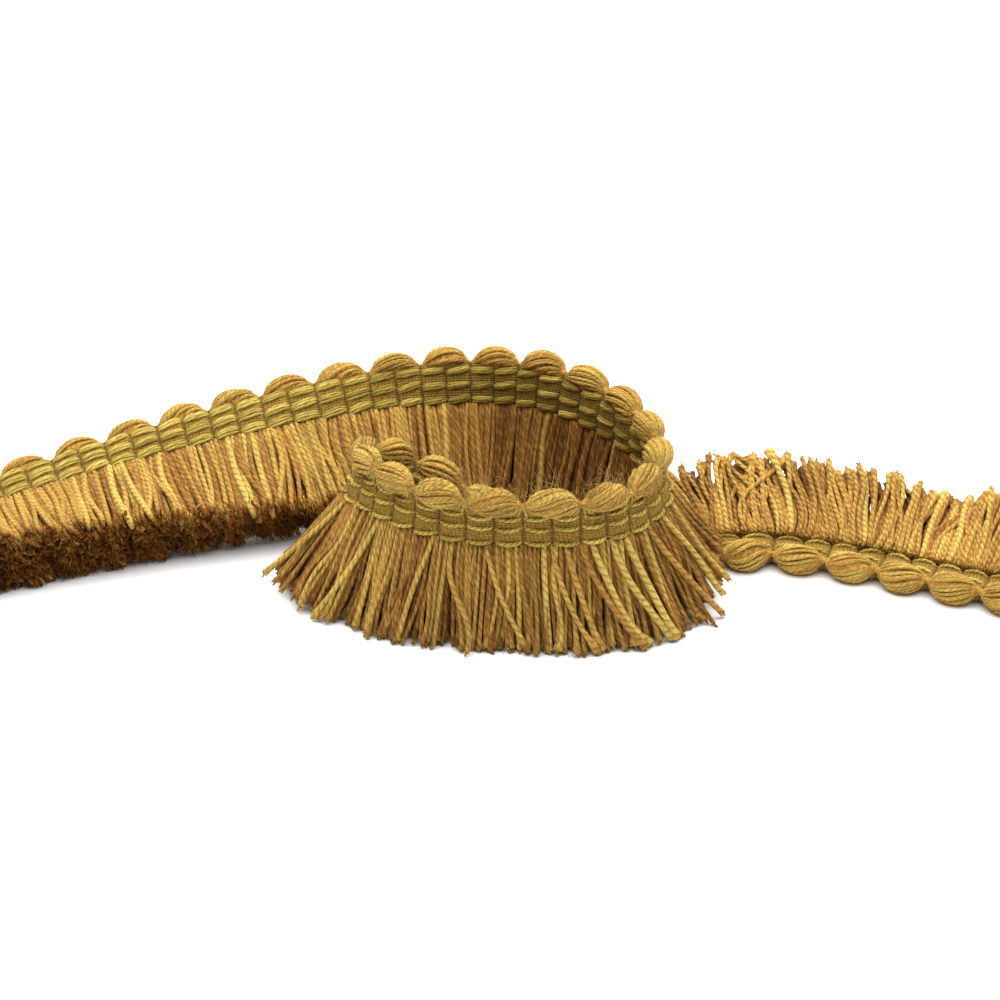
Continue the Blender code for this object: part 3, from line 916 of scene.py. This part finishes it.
def makeNecks(numbers):
    # each neck is wrapped, and a few threads run from it down to the heading
    necks = np.append(numbers - 0.5, numbers[-1] + 0.5)[:, None]
    t = np.linspace(0.0, 1.0, scallopEdge["wrapRings"])[None, :]
    angle = 2 * math.pi * scallopEdge["wrapTurns"] * t + startTurn(necks.shape)
    places = np.clip(necks + (t - 0.5) * scallopEdge["wrapWidth"], trim["start"], trim["end"])
    centres = aroundScallop(places, angle, scallopEdge["wrapRadius"] * np.ones(angle.shape))
    wraps = yarnBundle(centres, scallopEdge["wrapThick"] / 2, trimFrame(places)[..., alongPart],
                       rng.uniform(0, 1, necks.shape))
    t = np.linspace(0.0, 1.0, scallopEdge["threadRings"])[None, :]
    threads = []
    for lean in scallopEdge["threadLeans"]:
        places = necks + lean * t**0.7 + rng.normal(0, 0.015, necks.shape)
        places = np.clip(places, trim["start"], trim["end"])
        downBy = scallopEdge["threadFrom"] + scallopEdge["threadLength"] * t
        downBy = downBy + rng.normal(0, 0.2, necks.shape) * t
        outBy = bandMiddle(places, downBy) + heading["half"] + 0.25 + 0.45 * np.sin(math.pi * t * 0.75)
        threads.append(yarnBundle(trimPoint(places, downBy, outBy), scallopEdge["wrapThick"] * 0.5,
                                  trimFrame(places)[..., outPart], rng.uniform(0, 1, necks.shape)))
    wrap = makeYarnMaterial("neckWrap", dyes["wrap"], None, {**plyLook, "plyTurns": 0.5, "paintedGrooveShade": 0.7})
    addPiece("neckWraps", gatherTubes("neckWraps", [wraps], 4), wrap)
    addPiece("neckThreads", gatherTubes("neckThreads", threads, 4), wrap)


scallopNumbers = np.arange(scallopEdge["first"], scallopEdge["last"] + 1)
gimp = makeYarnMaterial("scallopGimp", dyes["yarn"], None,
                        {**plyLook, "plyTurns": 0.34, "paintedGrooveShade": 0.82, "plyRelief": 0.6})
makeStrands(scallopNumbers, gimp)
makeFilling(scallopNumbers, gimp)
makeNecks(scallopNumbers)
print("scallops made", sum(triangleCount))

# stitches on the heading: a twisted thread a cell on the scalloped face, and bundles on the back
stitches = {
    "frontRows": (4.05, 6.65, 10.1),
    "frontThick": 0.95,
    "frontRings": 9,
    "frontTone": (0.62, 0.18),
    "backRows": (2.4, 6.0, 9.6),
    "backStrands": 3,
    "backThick": 0.86,
    "backRings": 9,
    # place and distance between a bundle's strands: it lies wide on the left and tight in the coil
    "backSteps": ((-1.5, 0.76), (5.0, 0.72), (8.0, 0.50), (12.0, 0.40), (35.5, 0.5)),
    # place and tone of the back's bundles: painted shade darkens them inside the coil
    "backTonesWithShade": ((5.5, 0.66), (9.0, 0.22), (13.5, 0.18), (15.0, 0.5)),
    "backToneScatter": 0.15,
    # how deep a stitch's ends go into the band and how far its middle stands off the swell
    "sunk": 0.15,
    "stand": 0.42,
}


def makeStitches():
    cells = np.arange(round((trim["end"] - trim["start"]) / heading["cell"]))[:, None]
    front, back = [], []
    t = np.linspace(0.0, 1.0, stitches["frontRings"])[None, :]
    for row in stitches["frontRows"]:
        place = trim["start"] + (cells + 0.03 + 0.94 * t) * heading["cell"]
        tilt = rng.normal(0.05, 0.22, cells.shape)
        downBy = row + tilt * (2 * t - 1) + 0.35 * (1 - (2 * t - 1)**2) + rng.normal(0.0, 0.12, cells.shape)
        standing = heading["half"] - stitches["sunk"] + (heading["bulge"] + stitches["stand"]) * cellArch(t)
        centres = trimPoint(place, downBy, bandMiddle(place, downBy) + standing)
        radii = stitches["frontThick"] / 2 * (0.65 + 0.35 * cellArch(t))
        tone = rng.normal(*stitches["frontTone"], cells.shape)
        guide = trimFrame(place)[..., outPart]
        front.append(yarnBundle(centres, radii, guide, tone, 0.0, startTurn(cells.shape)))
    t = np.linspace(0.0, 1.0, stitches["backRings"])[None, :]
    place = trim["start"] + (cells + 0.02 + 0.96 * t) * heading["cell"]
    step = valueAt(place, stitches["backSteps"])
    # painted shade: the back's bundles are darkened inside the coil
    coilShadedTone = valueAt(place, stitches["backTonesWithShade"])
    middleStrand = (stitches["backStrands"] - 1) / 2
    for row in stitches["backRows"]:
        shift = rng.normal(0.0, 0.12, cells.shape)
        skew = rng.normal(0.42, 0.15, cells.shape)
        for strand in range(stitches["backStrands"]):
            apart = (strand - middleStrand) * step * (0.65 + 0.35 * cellArch(t)) - skew * (2 * t - 1)
            downBy = row + shift + apart + rng.normal(0.0, 0.06, cells.shape) * (2 * t - 1)
            crown = stitches["stand"] + 0.22 * (1 - ((strand - middleStrand) / middleStrand)**2)
            standing = heading["half"] - stitches["sunk"] + (heading["bulge"] + crown) * cellArch(t)**0.7
            centres = trimPoint(place, downBy, bandMiddle(place, downBy) - standing)
            radii = stitches["backThick"] / 2 * (0.7 + 0.3 * cellArch(t))
            radii = radii * rng.uniform(0.88, 1.1, cells.shape)
            centres[..., 2] = np.maximum(centres[..., 2], radii)
            tone = coilShadedTone + rng.normal(0.0, stitches["backToneScatter"], cells.shape)
            guide = trimFrame(place)[..., outPart]
            back.append(yarnBundle(centres, radii, guide, tone, 0.0, startTurn(cells.shape)))
    thread = makeYarnMaterial("headingThread", dyes["thread"], None,
                              {**plyLook, "plyTurns": 0.38, "paintedGrooveShade": 0.45, "plyShift": 0.0})
    soft = makeYarnMaterial("headingBundle", dyes["thread"], None,
                            {**plyLook, "plyTurns": 0.15, "paintedGrooveShade": 0.72, "plyShift": 0.0})
    addPiece("frontStitches", gatherTubes("frontStitches", front, 6), thread)
    addPiece("backStitches", gatherTubes("backStitches", back, 6), soft)


makeStitches()
print("stitches made", sum(triangleCount))

# loose fibres that stand off the woolly scallops, the yarns and the pile
fuzz = {
    "rings": 6,
    "tone": (0.9, 0.12),
    "pileTone": (0.15, 0.1),
    "halfWaves": (0.7, 2.2),
    # half turns round the scallop, measured from the heading; the inside of the coil is behind it
    "turns": {"scallops": (0.25, 1.25), "inside": (0.95, 1.4)},
    # place from, place to, how many a scallop, how long, and how thick
    "zones": (
        ("scallops", -1.5, 13.5, 16, (0.8, 1.8), 0.05),
        ("scallops", 13.5, 24.5, 44, (1.4, 3.6), 0.06),
        ("inside", 15.3, 18.5, 24, (2.5, 6.0), 0.06),
        ("scallops", 24.5, 35.5, 16, (0.8, 1.8), 0.05),
        ("yarns", 13.0, 23.0, 30, (1.2, 3.0), 0.06),
        ("yarns", 26.0, 35.5, 8, (1.0, 2.2), 0.06),
        ("pile", -1.5, 7.5, 70, (0.8, 2.2), 0.08),
    ),
}


def makeFuzz():
    bundles = []
    t = np.linspace(0.0, 1.0, fuzz["rings"])[None, :]
    for kind, start, end, often, lengths, radius in fuzz["zones"]:
        count = round((end - start) * often)
        place = rng.uniform(start, end, count)
        here = trimFrame(place)
        if kind in fuzz["turns"]:
            low, high = fuzz["turns"][kind]
            angle = rng.uniform(math.pi * low, math.pi * high, count)
            edge = scallopEdge["radius"] * scallopProfile(place - np.rint(place)) - 0.3
            downBy, outBy = edge * np.cos(angle), edge * np.sin(angle)
            push = here[:, downPart] * np.cos(angle)[:, None] + here[:, outPart] * np.sin(angle)[:, None]
        elif kind == "yarns":
            depth = rng.random(count) ** 0.7
            downBy = fringe["root"] + (here[:, reachPart] - fringe["root"]) * depth
            rootHalf = fringe["rootHalves"][0][1]
            outBy = trim["bandOut"] + spreadOut(rootHalf, fringe["filled"] * here[:, spreadPart], depth)
            push = here[:, outPart]
        else:
            downBy = here[:, reachPart] + rng.normal(0, 0.4, count)
            outBy = trim["bandOut"] + rng.uniform(-0.47, 0.47, count) * here[:, spreadPart]
            push = here[:, downPart]
        root = trimPoint(place, downBy, outBy)
        length = rng.uniform(*lengths, count)[:, None]
        aim = unit(push * 0.8 + rng.normal(0, 0.75, (count, 3))) * length
        curl = unit(rng.normal(0, 1.0, (count, 3))) * length * rng.uniform(0.15, 0.5, (count, 1))
        centres = root[:, None] + aim[:, None] * t[..., None]
        halfWaves = rng.uniform(*fuzz["halfWaves"], (count, 1))
        centres = centres + curl[:, None] * np.sin(math.pi * t * halfWaves)[..., None]
        centres[..., 2] = np.maximum(centres[..., 2], 0.12)
        tone = rng.normal(*(fuzz["pileTone"] if kind == "pile" else fuzz["tone"]), (count, 1))
        tone = np.clip(tone, 0.0, 1.0)
        bundles.append(yarnBundle(centres, radius * (1 - 0.4 * t), here[:, None, alongPart], tone))
    plain = {**plyLook, "paintedGrooveShade": 1.0, "paintedCrestLight": 1.0, "plyShift": 0.0}
    fuzzYarn = makeYarnMaterial("looseFibre", dyes["fuzz"], None, plain)
    addPiece("looseFibres", gatherTubes("looseFibres", bundles, 3), fuzzYarn)


makeFuzz()
print("loose fibres made; triangles in all", sum(triangleCount), "most in one piece", max(triangleCount))

# stage: a pale floor, soft light from above and the photograph's view
stage = {
    "target": (-0.06, -6.76, 20.0),
    "distance": 520.0,
    "elevation": 28.0,
    "lens": 79.66,
    "floorSize": 8.0,
    "floorShade": 0.93,
    "worldStrength": 0.20,
    # soft lamps: where, size and power
    "lamps": {
        "overhead": ((0.0, 0.15, 0.9), 2.0, 38.5),
        "front": ((-0.35, -0.8, 0.7), 0.7, 0.4),
    },
}


def makeStage():
    bm = bmesh.new()
    bmesh.ops.create_grid(bm, x_segments=1, y_segments=1, size=stage["floorSize"] / 2)
    mesh = bpy.data.meshes.new("paleFloor")
    bm.to_mesh(mesh)
    bm.free()
    floor = placeObject("paleFloor", mesh)
    material = bpy.data.materials.new("paleFloor")
    material.use_nodes = True
    shader = material.node_tree.nodes["Principled BSDF"]
    shader.inputs["Base Color"].default_value = (*(stage["floorShade"],) * 3, 1.0)
    shader.inputs["Roughness"].default_value = 0.9
    shader.inputs["Specular IOR Level"].default_value = 0.1
    mesh.materials.append(material)
    world = bpy.data.worlds.new("softWhite")
    world.use_nodes = True
    world.node_tree.nodes["Background"].inputs["Color"].default_value = (1.0, 1.0, 1.0, 1.0)
    world.node_tree.nodes["Background"].inputs["Strength"].default_value = stage["worldStrength"]
    bpy.context.scene.world = world
    for name, (spot, size, energy) in stage["lamps"].items():
        lamp = bpy.data.lights.new(name, "AREA")
        lamp.shape = "DISK"
        lamp.size = size
        lamp.energy = energy
        light = placeObject(name, lamp)
        light.location = spot
        aim = -np.array(spot)
        tipped = math.atan2(math.hypot(aim[0], aim[1]), -aim[2])
        light.rotation_euler = (tipped, 0.0, math.atan2(aim[1], aim[0]) - math.pi / 2)
    lensData = bpy.data.cameras.new("photographView")
    lensData.lens = stage["lens"]
    lensData.sensor_width = 36.0
    lensData.clip_start = 0.01
    camera = placeObject("photographView", lensData)
    tilt = math.radians(stage["elevation"])
    back = stage["distance"] * np.array([0.0, -math.cos(tilt), math.sin(tilt)])
    camera.location = (np.array(stage["target"]) + back) * millimetre
    camera.rotation_euler = (math.pi / 2 - tilt, 0.0, 0.0)
    bpy.context.scene.camera = camera
    bpy.context.scene.view_settings.view_transform = "Standard"


makeStage()
print("stage made")
